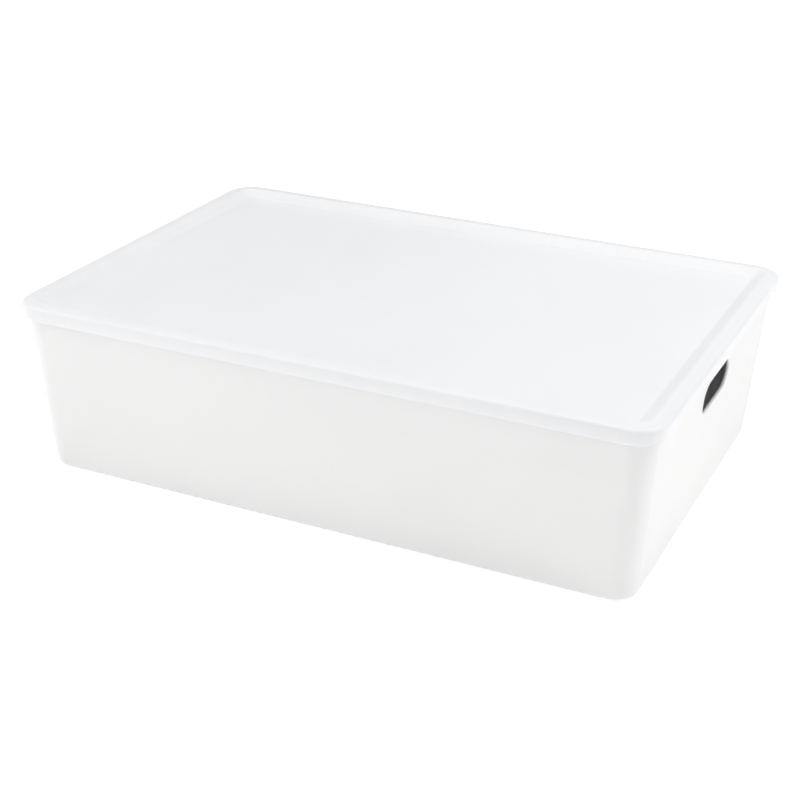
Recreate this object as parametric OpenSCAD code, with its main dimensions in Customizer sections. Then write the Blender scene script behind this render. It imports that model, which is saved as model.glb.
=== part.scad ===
// Stacking storage crate with a lift-off lid.
// Millimetres, +Z up, origin at the centre of the footprint on the surface that the crate stands on.
// Each moulding is a wall of even thickness: one vertical section, made of bends joined by straight
// bars, is swept round a rounded rectangle. In a section X is the distance outwards from the line
// through the corner centres, and Y is the height. The crate is swept with upright walls, a quarter at
// a time, and each quarter leans outwards as a whole, so that its corner keeps one radius all the way up.

/* [Crate] */
// Outer length of the crate at its foot
crate_l = 557; // [500:1:559]
// Outer width of the crate at its foot
crate_w = 369; // [320:1:370]
// Height of the crate to the top of its rim
crate_h = 157.7; // [145:0.1:168]
// Outer radius of the upright corners
crate_corner_r = 21.5; // [20:0.5:25]
// Lean of the walls from vertical, in degrees
draft = 4.1; // [3:0.05:4.3]
// Thickness of the crate's walls and floor
crate_wall = 3; // [2:0.1:3.5]
// Outer radius of the bend between wall and floor
foot_r = 4; // [3.8:0.1:6]
// Height by which the floor stands clear inside the foot ring
floor_rise = 1.5; // [1:0.1:3]
// Width of the flat foot ring
foot_ring_w = 9; // [7:0.5:10]

/* [Rim] */
// Outward thickness of the bead round the rim
bead_w = 2; // [1:0.1:2.5]
// Height of the bead
bead_h = 5; // [4:0.5:8]

/* [Hand slots] */
// Length of the hand slot in each short wall
slot_l = 80.5; // [70:0.5:100]
// Height of the hand slot
slot_h = 27; // [22:0.5:30]
// Height of the slot's centre line above the ground
slot_z = 118.5; // [90:0.5:125]

/* [Lid] */
// Outer length of the lid
lid_l = 590; // [589:0.5:592]
// Outer width of the lid
lid_w = 401.5; // [400.5:0.5:404]
// Outer corner radius of the lid
lid_corner_r = 27; // [26.6:0.1:28]
// Thickness of the lid
lid_wall = 2; // [1.6:0.1:2.4]
// Height of the skirt, from its lower edge to the crest of the rim
skirt_h = 13.9; // [12:0.1:18]
// Outer radius of the bend between rim and skirt
skirt_bend_r = 3; // [2.5:0.1:4]

/* [Lid rim and recess] */
// Distance from the lid's outer face to the crest of its raised rim
crest_in = 11.7; // [11:0.1:12]
// Outer radius of the crest
crest_r = 6; // [4:0.5:6.5]
// Fall of the rim from its crest outwards, in degrees from level
rim_fall = 7; // [4:0.5:8]
// Depth of the recessed panel below the crest
recess_depth = 6.8; // [5:0.1:7]
// Slope of the wall between crest and panel, in degrees from level
recess_slope = 31; // [30:0.5:40]
// Radius of the hollow where the slope meets the panel
lid_hollow_r = 6; // [3:0.5:6]

/* [Fit] */
// Height of the closed lid's crest above the crate's rim
lid_rise = 3.5; // [3.4:0.1:4]

/* [Hidden] */
$fn = 96;

root = 12; // how far the bars reach into a bend, in degrees
lap = 20; // how far the quarters of the crate run past its middle

// Crate: corner centres at the foot
crate_cx = crate_l / 2 - crate_corner_r;
crate_cy = crate_w / 2 - crate_corner_r;
lean = tan(draft);

// Lid: corner centres and heights
lid_cx = lid_l / 2 - lid_corner_r;
lid_cy = lid_w / 2 - lid_corner_r;
lid_top = crate_h + lid_rise;
panel_top = lid_top - recess_depth;
skirt_z = lid_top - skirt_h;

// Lid: centres of the bends, from the lines that touch them
rim_normal = [sin(rim_fall), cos(rim_fall)];
slope_normal = [-sin(recess_slope), cos(recess_slope)];
crest_c = [lid_corner_r - crest_in, lid_top - crest_r];
skirt_cx = lid_corner_r - skirt_bend_r;
skirt_cz = (rim_normal * crest_c + crest_r - skirt_bend_r - rim_normal[0] * skirt_cx) / rim_normal[1];
hollow_cz = panel_top + lid_hollow_r;
hollow_cx = (slope_normal * crest_c + crest_r + lid_hollow_r - slope_normal[1] * hollow_cz)
    / slope_normal[0];

// Bends, each as [centre, inner radius, first angle, last angle]
foot_bend = [[crate_corner_r - foot_r, foot_r], foot_r - crate_wall, -90, 0];
hollow_bend = [[hollow_cx, hollow_cz], lid_hollow_r, 270, 270 + recess_slope];
crest_bend = [crest_c, crest_r - lid_wall, 90 + recess_slope, 90 - rim_fall];
skirt_bend = [[skirt_cx, skirt_cz], skirt_bend_r - lid_wall, 90 - rim_fall, 0];

// Foot ring and the step up to the floor
ring_x = foot_bend[0][0] - foot_ring_w;
step_x = ring_x - floor_rise;

// A point of a bend at a radius beyond its inner face
function at(b, out, a) = b[0] + (b[1] + out) * [cos(a), sin(a)];

// Points across a bend at one of its ends: inner face, a point inside its wall, outer face
function across(b, t, a, inwards) = [at(b, 0, a), at(b, t / 2, a + inwards), at(b, t, a)];
function first_end(b, t) = across(b, t, b[2], sign(b[3] - b[2]) * root);
function last_end(b, t) = across(b, t, b[3], sign(b[2] - b[3]) * root);

// The same points from the outer face to the inner
function turned(points) = [points[2], points[1], points[0]];

// One bend of a section
module bend(b, t) {
    reach = 2 * (b[1] + t);
    middle = (b[2] + b[3]) / 2;
    translate(b[0])
        intersection() {
            difference() {
                circle(r = b[1] + t);
                circle(r = b[1]);
            }
            polygon([[0, 0], for (a = [b[2], middle, b[3]]) reach * [cos(a), sin(a)]]);
        }
}

// One straight bar of a section, through the points of both its ends in order
module bar(from, to) {
    polygon(concat(from, to));
}

// Sweeps a section round one quarter of the rounded rectangle whose corner centres are at +-cx, +-cy
module sweep_quarter(cx, cy, past) {
    translate([cx, cy, 0]) {
        rotate_extrude(angle = 90)
            children();
        rotate([90, 0, 0])
            linear_extrude(height = cy + past)
                children();
        translate([-cx - past, 0, 0])
            rotate([90, 0, 90])
                linear_extrude(height = cx + past)
                    children();
    }
}

// A quarter and its three mirror images; each leans outwards both ways by slant for each unit of height
module mirrored_quarters(slant) {
    for (x = [0, 1], y = [0, 1])
        mirror([x, 0, 0])
            mirror([0, y, 0])
                multmatrix([[1, 0, slant, 0], [0, 1, slant, 0], [0, 0, 1, 0]])
                    children();
}

// Flat sheet from z0 up, reaching a little past the lines between the corner centres
module sheet(cx, cy, past, z0, t) {
    translate([-cx - past, -cy - past, z0])
        cube([2 * (cx + past), 2 * (cy + past), t]);
}

// Section of the crate from the floor to the rim, with its wall upright
module crate_section() {
    t = crate_wall;
    r = crate_corner_r;
    // raised floor, step and foot ring, as far as the bend
    bar([[0, floor_rise + t], [0, floor_rise], [step_x, floor_rise], [ring_x, 0]],
        concat(turned(first_end(foot_bend, t)), [[ring_x, t], [step_x, floor_rise + t]]));
    bend(foot_bend, t);
    // wall with the bead round its rim
    bar(last_end(foot_bend, t), [
        [r, crate_h - bead_h],
        [r + bead_w, crate_h - bead_h],
        [r + bead_w, crate_h],
        [r - t, crate_h]
    ]);
}

// Section of the lid from the panel over the rim to the skirt's lower edge
module lid_section() {
    t = lid_wall;
    bar([[0, panel_top - t], [0, panel_top]], first_end(hollow_bend, t));
    bend(hollow_bend, t);
    bar(last_end(hollow_bend, t), first_end(crest_bend, t));
    bend(crest_bend, t);
    bar(last_end(crest_bend, t), turned(first_end(skirt_bend, t)));
    bend(skirt_bend, t);
    bar(last_end(skirt_bend, t), [[lid_corner_r, skirt_z], [lid_corner_r - t, skirt_z]]);
}

// Cutter for the hand slots, right through both short walls
module hand_slots() {
    reach = (slot_l - slot_h) / 2;
    translate([-lid_l / 2, 0, slot_z])
        rotate([90, 0, 90])
            linear_extrude(height = lid_l) {
                for (end = [-1, 1])
                    translate([end * reach, 0])
                        circle(d = slot_h);
                square([2 * reach, slot_h], center = true);
            }
}

// Open-topped crate: drafted walls, raised floor on a foot ring, beaded rim and two hand slots
module crate_body() {
    color([0.93, 0.93, 0.93])
        difference() {
            union() {
                mirrored_quarters(lean)
                    sweep_quarter(crate_cx, crate_cy, lap)
                        crate_section();
                sheet(crate_cx, crate_cy, 2, floor_rise, crate_wall);
            }
            hand_slots();
        }
}

// Lift-off lid: skirt, raised rim and recessed panel
module lid() {
    color([0.95, 0.95, 0.96]) {
        mirrored_quarters(0)
            sweep_quarter(lid_cx, lid_cy, 0)
                lid_section();
        sheet(lid_cx, lid_cy, 0, panel_top - lid_wall, lid_wall);
    }
}

crate_body();
lid();
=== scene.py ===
"""Studio scene of a white moulded storage crate with a lift-off lid.

Both mouldings are built as clean quad shells over the CAD frame: a vertical section is swept
round a rounded rectangle, with the small edge radii that a mould leaves. All sizes are in metres.
In a section the first number is the distance outwards from the line through the corner centres,
the second the height. The corner centres themselves may move outwards with height, which is how
the crate's walls lean.
"""

from math import cos, pi, radians, sin, tan

import bmesh
import bpy
from mathutils import Matrix, Vector


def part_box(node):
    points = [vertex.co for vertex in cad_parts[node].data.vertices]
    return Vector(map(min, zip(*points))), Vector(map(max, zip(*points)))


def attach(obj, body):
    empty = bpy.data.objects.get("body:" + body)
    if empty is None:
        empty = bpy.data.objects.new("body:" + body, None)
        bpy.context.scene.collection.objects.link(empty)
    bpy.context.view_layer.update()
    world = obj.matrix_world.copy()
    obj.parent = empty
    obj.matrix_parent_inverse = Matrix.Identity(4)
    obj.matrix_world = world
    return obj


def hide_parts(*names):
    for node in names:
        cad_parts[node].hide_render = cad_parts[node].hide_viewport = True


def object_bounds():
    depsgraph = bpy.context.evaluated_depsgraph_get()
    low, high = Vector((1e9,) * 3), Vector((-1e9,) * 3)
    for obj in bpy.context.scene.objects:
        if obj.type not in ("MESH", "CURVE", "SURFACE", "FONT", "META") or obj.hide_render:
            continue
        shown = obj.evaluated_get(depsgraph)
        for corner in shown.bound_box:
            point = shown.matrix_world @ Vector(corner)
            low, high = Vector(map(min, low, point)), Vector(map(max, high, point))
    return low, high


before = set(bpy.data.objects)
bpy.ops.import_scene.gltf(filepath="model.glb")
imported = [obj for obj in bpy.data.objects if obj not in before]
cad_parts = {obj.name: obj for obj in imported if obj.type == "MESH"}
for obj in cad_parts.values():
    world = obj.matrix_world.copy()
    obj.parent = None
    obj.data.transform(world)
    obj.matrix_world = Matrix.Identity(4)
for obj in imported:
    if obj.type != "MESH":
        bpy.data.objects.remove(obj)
cad_low, cad_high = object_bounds()
lid_low, lid_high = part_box("lid")
_, crate_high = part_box("crate_body")

# Crate
WALL = 0.003
LEAN = tan(radians(4.1))
CORNER_R = 0.0215
FOOT_R = 0.004
FLOOR_RISE = 0.0015
RING_W = 0.009
BEAD_W = 0.002
BEAD_H = 0.005
BEAD_INNER_R = 0.0005  # hollow between wall and bead
BEAD_OUTER_R = 0.0007  # lower edge of the bead
RIM_EDGE_R = 0.001  # both edges of the rim's top
EDGE_R = 0.0006  # edges of the foot ring, its step and the lid's skirt

# Hand slot
SLOT_L = 0.0805
SLOT_H = 0.027
SLOT_Z = 0.1185
SLOT_EDGE_R = 0.0012

# Part of an end wall's grid that gives way to rings round the slot, and rows of the grid beyond it
WINDOW_Y = 0.055
WINDOW_MARGIN = 0.010
ROWS_BELOW = [0.012, 0.035, 0.065]
ROW_ABOVE = 0.148

# Lid
LID_WALL = 0.002
LID_CORNER_R = 0.027
SKIRT_BEND_R = 0.003
CREST_IN = 0.0117  # from the outer face to the crest of the rim
CREST_R = 0.006
RIM_FALL = radians(7)
RECESS = 0.0068
SLOPE = radians(31)
HOLLOW_R = 0.006
PANEL_SAG = 0.0004

ARC_STEPS = 6  # segments in a quarter turn of a small edge radius
WIDE_R = 0.004  # a radius over this gets two segments more
CORNER_STEPS = 20  # segments round a plan corner
CRATE_X_STEPS = 24  # cells of the crate's grid along X, between corner centres
LID_X_STEPS = 32
LID_Y_STEPS = 20
SLOT_ROUND = 16  # segments in the slot's round end
SLOT_FLAT = 8  # segments along its straight edge
MERGE_DIST = 1e-6


# ---------------------------------------------------------------- sections

def rounded(corners):
    """Polyline through (across, height, radius) corners, each made into an arc of its radius."""
    points = []
    for i, (x, z, r) in enumerate(corners):
        if r == 0 or i in (0, len(corners) - 1):
            points.append((x, z))
            continue
        here = Vector((x, z))
        before = (Vector(corners[i - 1][:2]) - here).normalized()
        after = (Vector(corners[i + 1][:2]) - here).normalized()
        half = before.angle(after) / 2
        centre = here + (before + after).normalized() * r / sin(half)
        start = here + before * r / tan(half) - centre
        turn = start.angle_signed(here + after * r / tan(half) - centre)
        steps = round(ARC_STEPS * abs(turn) / (pi / 2)) + (2 if r > WIDE_R else 0)
        steps = max(2, steps)
        for k in range(steps + 1):
            a = -turn * k / steps
            points.append((centre.x + start.x * cos(a) - start.y * sin(a),
                           centre.y + start.x * sin(a) + start.y * cos(a)))
    return points


def crate_section(rows):
    """From the middle of the underside, up the outside, over the rim and down to the floor."""
    h, r = crate_high.z, CORNER_R
    ring_x = r - FOOT_R - RING_W
    step_x = ring_x - FLOOR_RISE
    return rounded([
        (0, FLOOR_RISE, 0),
        (step_x, FLOOR_RISE, EDGE_R),
        (ring_x, 0, EDGE_R),
        (r, 0, FOOT_R),
        *[(r, z, 0) for z in rows],
        (r, h - BEAD_H, BEAD_INNER_R),
        (r + BEAD_W, h - BEAD_H, BEAD_OUTER_R),
        (r + BEAD_W, h, RIM_EDGE_R),
        (r - WALL, h, RIM_EDGE_R),
        *[(r - WALL, z, 0) for z in reversed(rows)],
        (r - WALL, WALL, FOOT_R - WALL),
        (ring_x, WALL, EDGE_R),
        (step_x, FLOOR_RISE + WALL, EDGE_R),
        (0, FLOOR_RISE + WALL, 0),
    ])


def meeting(normal_a, reach_a, normal_b, reach_b):
    """Point where two lines meet, each given by its normal's angle and distance from the origin."""
    turn = sin(normal_b - normal_a)
    return ((reach_a * sin(normal_b) - reach_b * sin(normal_a)) / turn,
            (reach_b * cos(normal_a) - reach_a * cos(normal_b)) / turn)


def lid_section():
    """From the middle of the panel's underside, round the rim and skirt, back over the top."""
    top, skirt, wall = lid_high.z, lid_low.z, LID_WALL
    panel = top - RECESS
    slope, rim, up, out = pi / 2 + SLOPE, pi / 2 - RIM_FALL, pi / 2, 0
    crest = (LID_CORNER_R - CREST_IN, top - CREST_R)

    def touching(normal):
        return crest[0] * cos(normal) + crest[1] * sin(normal) + CREST_R

    foot = meeting(up, panel, slope, touching(slope))
    ridge = meeting(slope, touching(slope), rim, touching(rim))
    brow = meeting(rim, touching(rim), out, LID_CORNER_R)
    foot_in = meeting(up, panel - wall, slope, touching(slope) - wall)
    ridge_in = meeting(slope, touching(slope) - wall, rim, touching(rim) - wall)
    brow_in = meeting(rim, touching(rim) - wall, out, LID_CORNER_R - wall)
    return rounded([
        (0, panel - wall, 0),
        (*foot_in, HOLLOW_R + wall),
        (*ridge_in, CREST_R - wall),
        (*brow_in, SKIRT_BEND_R - wall),
        (LID_CORNER_R - wall, skirt, EDGE_R),
        (LID_CORNER_R, skirt, EDGE_R),
        (*brow, SKIRT_BEND_R),
        (*ridge, CREST_R),
        (*foot, HOLLOW_R),
        (0, panel, 0),
    ])


# ---------------------------------------------------------------- shells

def spread(low, high, steps):
    return [low + (high - low) * k / steps for k in range(steps + 1)]


def stations(x_cuts, y_cuts):
    """(x, y, outward angle) once round, from the right side.

    x and y run from -1 to 1 between corner centres.
    """
    ring = []
    sides = [
        [(1, y, 0) for y in y_cuts],
        [(x, 1, 90) for x in reversed(x_cuts)],
        [(-1, y, 180) for y in reversed(y_cuts)],
        [(x, -1, 270) for x in x_cuts],
    ]
    for side in sides:
        x, y, a = side[-1]
        ring += side
        ring += [(x, y, a + 90 * k / CORNER_STEPS) for k in range(1, CORNER_STEPS)]
    return ring


def face_grid(bm, rows, closed=False):
    """Quads between rows of vertices; a closed grid joins its last row to its first."""
    pairs = list(zip(rows, rows[1:]))
    if closed:
        pairs.append((rows[-1], rows[0]))
    for a, b in pairs:
        for k in range(len(a) - 1):
            bm.faces.new((a[k], a[k + 1], b[k + 1], b[k]))


def swept_shell(section, centres, x_cuts, y_cuts):
    """Closed shell: the section swept round, with a flat grid above and below in the middle.

    centres gives, for each point of the section, how far the corner centres are out in x and y.
    """
    bm = bmesh.new()
    rows = []
    for x, y, angle in stations(x_cuts, y_cuts):
        a = radians(angle)
        rows.append([bm.verts.new((x * cx + u * cos(a), y * cy + u * sin(a), z))
                     for (u, z), (cx, cy) in zip(section, centres)])
    face_grid(bm, rows, closed=True)
    for (_, z), (cx, cy) in ((section[0], centres[0]), (section[-1], centres[-1])):
        face_grid(bm, [[bm.verts.new((x * cx, y * cy, z)) for y in y_cuts] for x in x_cuts])
    bmesh.ops.remove_doubles(bm, verts=bm.verts, dist=MERGE_DIST)
    return bm


def finished(bm, name, body, node, material):
    """Makes the mesh an object that stands for its CAD node."""
    bmesh.ops.recalc_face_normals(bm, faces=bm.faces)
    mesh = bpy.data.meshes.new(name)
    bm.to_mesh(mesh)
    bm.free()
    mesh.polygons.foreach_set("use_smooth", [True] * len(mesh.polygons))
    obj = bpy.data.objects.new(name, mesh)
    bpy.context.scene.collection.objects.link(obj)
    weighted = obj.modifiers.new("even_flats", "WEIGHTED_NORMAL")
    weighted.weight = 100
    mesh.materials.append(material)
    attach(obj, body)
    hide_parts(node)
    return obj


# ---------------------------------------------------------------- crate

def slot_outline(grow):
    """(y, height) once round the slot, grown outwards, from the end of its top edge."""
    straight = (SLOT_L - SLOT_H) / 2
    r = SLOT_H / 2 + grow
    outline = []
    for side in (-1, 1):
        outline += [(side * y, -side * r) for y in spread(-straight, straight, SLOT_FLAT)[:-1]]
        outline += [(side * (straight + r * cos(a)), side * r * sin(a))
                    for a in spread(-pi / 2, pi / 2, SLOT_ROUND)[:-1]]
    return [(y, SLOT_Z + z) for y, z in outline]


def window_outline(y_edge, z_low, z_high, cy):
    """The same number of points, round the window in the wall's grid that the rings fill."""
    low = [(y, z_low) for y in spread(-y_edge, y_edge, SLOT_FLAT)[:-1]]
    right = [(y_edge, z) for z in spread(z_low, z_high, SLOT_ROUND)[:-1]]
    high = [(-y, z_high) for y in spread(-y_edge, y_edge, SLOT_FLAT)[:-1]]
    left = [(-y_edge, z) for z in reversed(spread(z_low, z_high, SLOT_ROUND)[1:])]
    return [(y * (1 + z * LEAN / cy), z) for y, z in high + left + low + right]


def cut_slot(bm, side, cx, cy, y_edge, z_low, z_high):
    """Fills the window in one end wall with rings that run round the slot's rolled edges."""
    rim = [(SLOT_EDGE_R * (1 - sin(a)), SLOT_EDGE_R * (1 - cos(a)))
           for a in spread(0, pi / 2, ARC_STEPS)]
    rings = [(window_outline(y_edge, z_low, z_high, cy), 0)]
    rings += [(slot_outline(grow), depth) for grow, depth in rim]
    rings += [(slot_outline(grow), WALL - depth) for grow, depth in reversed(rim)]
    rings += [(window_outline(y_edge, z_low, z_high, cy), WALL)]
    rows = []
    for outline, depth in rings:
        row = [bm.verts.new((side * (cx + CORNER_R + z * LEAN - depth), y, z)) for y, z in outline]
        rows.append(row + row[:1])
    face_grid(bm, rows)


def build_crate(material):
    lean = crate_high.z * LEAN
    cx = crate_high.x - BEAD_W - lean - CORNER_R
    cy = crate_high.y - BEAD_W - lean - CORNER_R
    y_edge = WINDOW_Y
    z_low = SLOT_Z - SLOT_H / 2 - WINDOW_MARGIN
    z_high = SLOT_Z + SLOT_H / 2 + WINDOW_MARGIN
    section = crate_section(ROWS_BELOW + spread(z_low, z_high, SLOT_ROUND) + [ROW_ABOVE])
    centres = [(cx + z * LEAN, cy + z * LEAN) for _, z in section]
    across = spread(-y_edge / cy, y_edge / cy, SLOT_FLAT)
    y_cuts = [-1, (across[0] - 1) / 2] + across + [(across[-1] + 1) / 2, 1]
    bm = swept_shell(section, centres, spread(-1, 1, CRATE_X_STEPS), y_cuts)
    window = []
    for f in bm.faces:
        x, y, z = f.calc_center_median()
        half_width = y_edge * (1 + z * LEAN / cy)
        if abs(x) > cx + z * LEAN and abs(y) < half_width and z_low < z < z_high:
            window.append(f)
    bmesh.ops.delete(bm, geom=window, context="FACES")
    for side in (-1, 1):
        cut_slot(bm, side, cx, cy, y_edge, z_low, z_high)
    bmesh.ops.remove_doubles(bm, verts=bm.verts, dist=MERGE_DIST)
    return finished(bm, "crate_shell", "crate", "crate_body", material)


# ---------------------------------------------------------------- lid

def build_lid(material):
    cx = lid_high.x - LID_CORNER_R
    cy = lid_high.y - LID_CORNER_R
    section = lid_section()
    bm = swept_shell(section, [(cx, cy)] * len(section),
                     spread(-1, 1, LID_X_STEPS), spread(-1, 1, LID_Y_STEPS))
    for v in bm.verts:
        if abs(v.co.x) < cx and abs(v.co.y) < cy:
            v.co.z -= PANEL_SAG * cos(pi / 2 * v.co.x / cx) * cos(pi / 2 * v.co.y / cy)
    return finished(bm, "lid_shell", "lid", "lid", material)


# ---------------------------------------------------------------- materials

SCATTER_R = 0.0034  # how far light travels inside the plastic
NOISE_LOW, NOISE_HIGH = 0.3, 0.7  # the range that most of a noise texture lies in
DULLEST = 0.985  # share of the tint that the dullest flow mark keeps


def plastic(name, tint, seed):
    """White polypropylene that lets a little light in, with fine grain and a satin sheen."""
    mat = bpy.data.materials.new(name)
    mat.use_nodes = True
    nodes, links = mat.node_tree.nodes, mat.node_tree.links
    shader = nodes["Principled BSDF"]
    shader.inputs["IOR"].default_value = 1.49
    shader.inputs["Subsurface Weight"].default_value = 0.45
    shader.inputs["Subsurface Radius"].default_value = (SCATTER_R, SCATTER_R, SCATTER_R)
    shader.inputs["Subsurface Scale"].default_value = 1.0

    place = nodes.new("ShaderNodeTexCoord")

    def cloud(scale, detail, stretch=(1, 1, 1)):
        mapping = nodes.new("ShaderNodeMapping")
        mapping.inputs["Scale"].default_value = stretch
        mapping.inputs["Location"].default_value = (seed, seed / 3, seed / 7)
        texture = nodes.new("ShaderNodeTexNoise")
        texture.inputs["Scale"].default_value = scale
        texture.inputs["Detail"].default_value = detail
        links.new(place.outputs["Object"], mapping.inputs["Vector"])
        links.new(mapping.outputs["Vector"], texture.inputs["Vector"])
        return texture.outputs["Fac"]

    def ramp(value, low, high):
        mapped = nodes.new("ShaderNodeMapRange")
        mapped.inputs["From Min"].default_value = NOISE_LOW
        mapped.inputs["From Max"].default_value = NOISE_HIGH
        mapped.inputs["To Min"].default_value = low
        mapped.inputs["To Max"].default_value = high
        links.new(value, mapped.inputs["Value"])
        return mapped.outputs["Result"]

    colour = nodes.new("ShaderNodeMix")
    colour.data_type = "RGBA"
    colour.inputs["A"].default_value = (*[c * DULLEST for c in tint], 1)
    colour.inputs["B"].default_value = (*tint, 1)
    links.new(ramp(cloud(9, 3, (1, 1, 2)), 0, 1), colour.inputs["Factor"])
    links.new(colour.outputs["Result"], shader.inputs["Base Color"])
    links.new(ramp(cloud(26, 4), 0.40, 0.48), shader.inputs["Roughness"])

    grain = nodes.new("ShaderNodeBump")
    grain.inputs["Strength"].default_value = 0.10
    grain.inputs["Distance"].default_value = 0.0002
    links.new(cloud(2600, 2), grain.inputs["Height"])
    wave = nodes.new("ShaderNodeBump")
    wave.inputs["Strength"].default_value = 0.25
    wave.inputs["Distance"].default_value = 0.0006
    links.new(cloud(14, 1), wave.inputs["Height"])
    links.new(grain.outputs["Normal"], wave.inputs["Normal"])
    links.new(wave.outputs["Normal"], shader.inputs["Normal"])
    return mat


def backdrop(name, colour, near, far):
    """Matt white that also glows, as a lit light table does, and more so further out."""
    mat = bpy.data.materials.new(name)
    mat.use_nodes = True
    nodes, links = mat.node_tree.nodes, mat.node_tree.links
    shader = nodes["Principled BSDF"]
    shader.inputs["Base Color"].default_value = (*colour, 1)
    shader.inputs["Roughness"].default_value = 0.9
    shader.inputs["Specular IOR Level"].default_value = 0.1
    shader.inputs["Emission Color"].default_value = (1, 1, 1, 1)
    place = nodes.new("ShaderNodeTexCoord")
    away = nodes.new("ShaderNodeVectorMath")
    away.operation = "LENGTH"
    glow = nodes.new("ShaderNodeMapRange")
    for socket, value in (("From Min", 1.0), ("From Max", 2.5), ("To Min", near), ("To Max", far)):
        glow.inputs[socket].default_value = value
    links.new(place.outputs["Object"], away.inputs[0])
    links.new(away.outputs["Value"], glow.inputs["Value"])
    links.new(glow.outputs["Result"], shader.inputs["Emission Strength"])
    return mat


# ---------------------------------------------------------------- studio

FLOOR_R = 14

# Name, place, width and height, and power in watts; each faces the middle of the object
SOFTBOXES = (
    ("overhead", (0, 0.1, 2.4), (1.6, 1.6), 21.0),
    ("high_right", (1.4, 0.2, 1.9), (1.2, 1.2), 19.3),
    ("low_right", (2.2, -0.6, 0.5), (1.0, 0.8), 2.2),
    ("high_front_left", (-1.3, -1.3, 1.7), (1.0, 1.0), 12.0),
    ("front_left", (-1.6, -1.8, 0.8), (1.2, 1.0), 6.8),
    ("left", (-2.2, 0.3, 0.8), (1.0, 1.0), 5.8),
    ("behind", (0, 2.4, 1.3), (1.8, 1.0), 3.5),
)


def add_floor():
    bm = bmesh.new()
    bmesh.ops.create_circle(bm, cap_ends=True, segments=64, radius=FLOOR_R)
    mesh = bpy.data.meshes.new("floor")
    bm.to_mesh(mesh)
    bm.free()
    floor = bpy.data.objects.new("floor", mesh)
    floor.location.z = cad_low.z
    mesh.materials.append(backdrop("floor_white", (0.9, 0.9, 0.9), 0.395, 0.7))
    bpy.context.scene.collection.objects.link(floor)


def add_world(strength):
    world = bpy.data.worlds.new("studio")
    world.use_nodes = True
    background = world.node_tree.nodes["Background"]
    background.inputs["Color"].default_value = (1, 1, 1, 1)
    background.inputs["Strength"].default_value = strength
    bpy.context.scene.world = world


def add_softbox(name, place, size, power):
    light = bpy.data.lights.new(name, "AREA")
    light.shape = "RECTANGLE"
    light.size, light.size_y = size
    light.energy = power
    obj = bpy.data.objects.new(name, light)
    obj.location = place
    middle = (cad_low + cad_high) / 2
    obj.rotation_euler = (middle - Vector(place)).to_track_quat("-Z", "Y").to_euler()
    bpy.context.scene.collection.objects.link(obj)


def add_camera():
    azimuth, elevation, roll = radians(24.96), radians(24.72), radians(0.77)
    distance = 1.5027
    aim = Vector((-0.0149, 0.0121, 0.0375))
    back = Vector((sin(azimuth) * cos(elevation), -cos(azimuth) * cos(elevation), sin(elevation)))
    level = Vector((cos(azimuth), sin(azimuth), 0))
    upright = back.cross(level)
    right = level * cos(roll) + upright * sin(roll)
    up = upright * cos(roll) - level * sin(roll)
    camera = bpy.data.cameras.new("camera")
    camera.sensor_width = 36
    camera.lens = 71.17
    camera.clip_end = 60
    obj = bpy.data.objects.new("camera", camera)
    turn = Matrix((right, up, back)).transposed().to_4x4()
    obj.matrix_world = Matrix.Translation(aim + back * distance) @ turn
    bpy.context.scene.collection.objects.link(obj)
    bpy.context.scene.camera = obj


build_crate(plastic("crate_polypropylene", (0.86, 0.86, 0.855), 3.1))
# The lid's tint is the crate's white made paler and bluer: painted cool light on the top, not a
# colour of the lid's own
build_lid(plastic("lid_plastic_painted_cool_light", (0.873, 0.883, 0.903), 7.7))
add_floor()
add_world(0.25)
for softbox in SOFTBOXES:
    add_softbox(*softbox)
add_camera()
bpy.context.scene.view_settings.view_transform = "Standard"
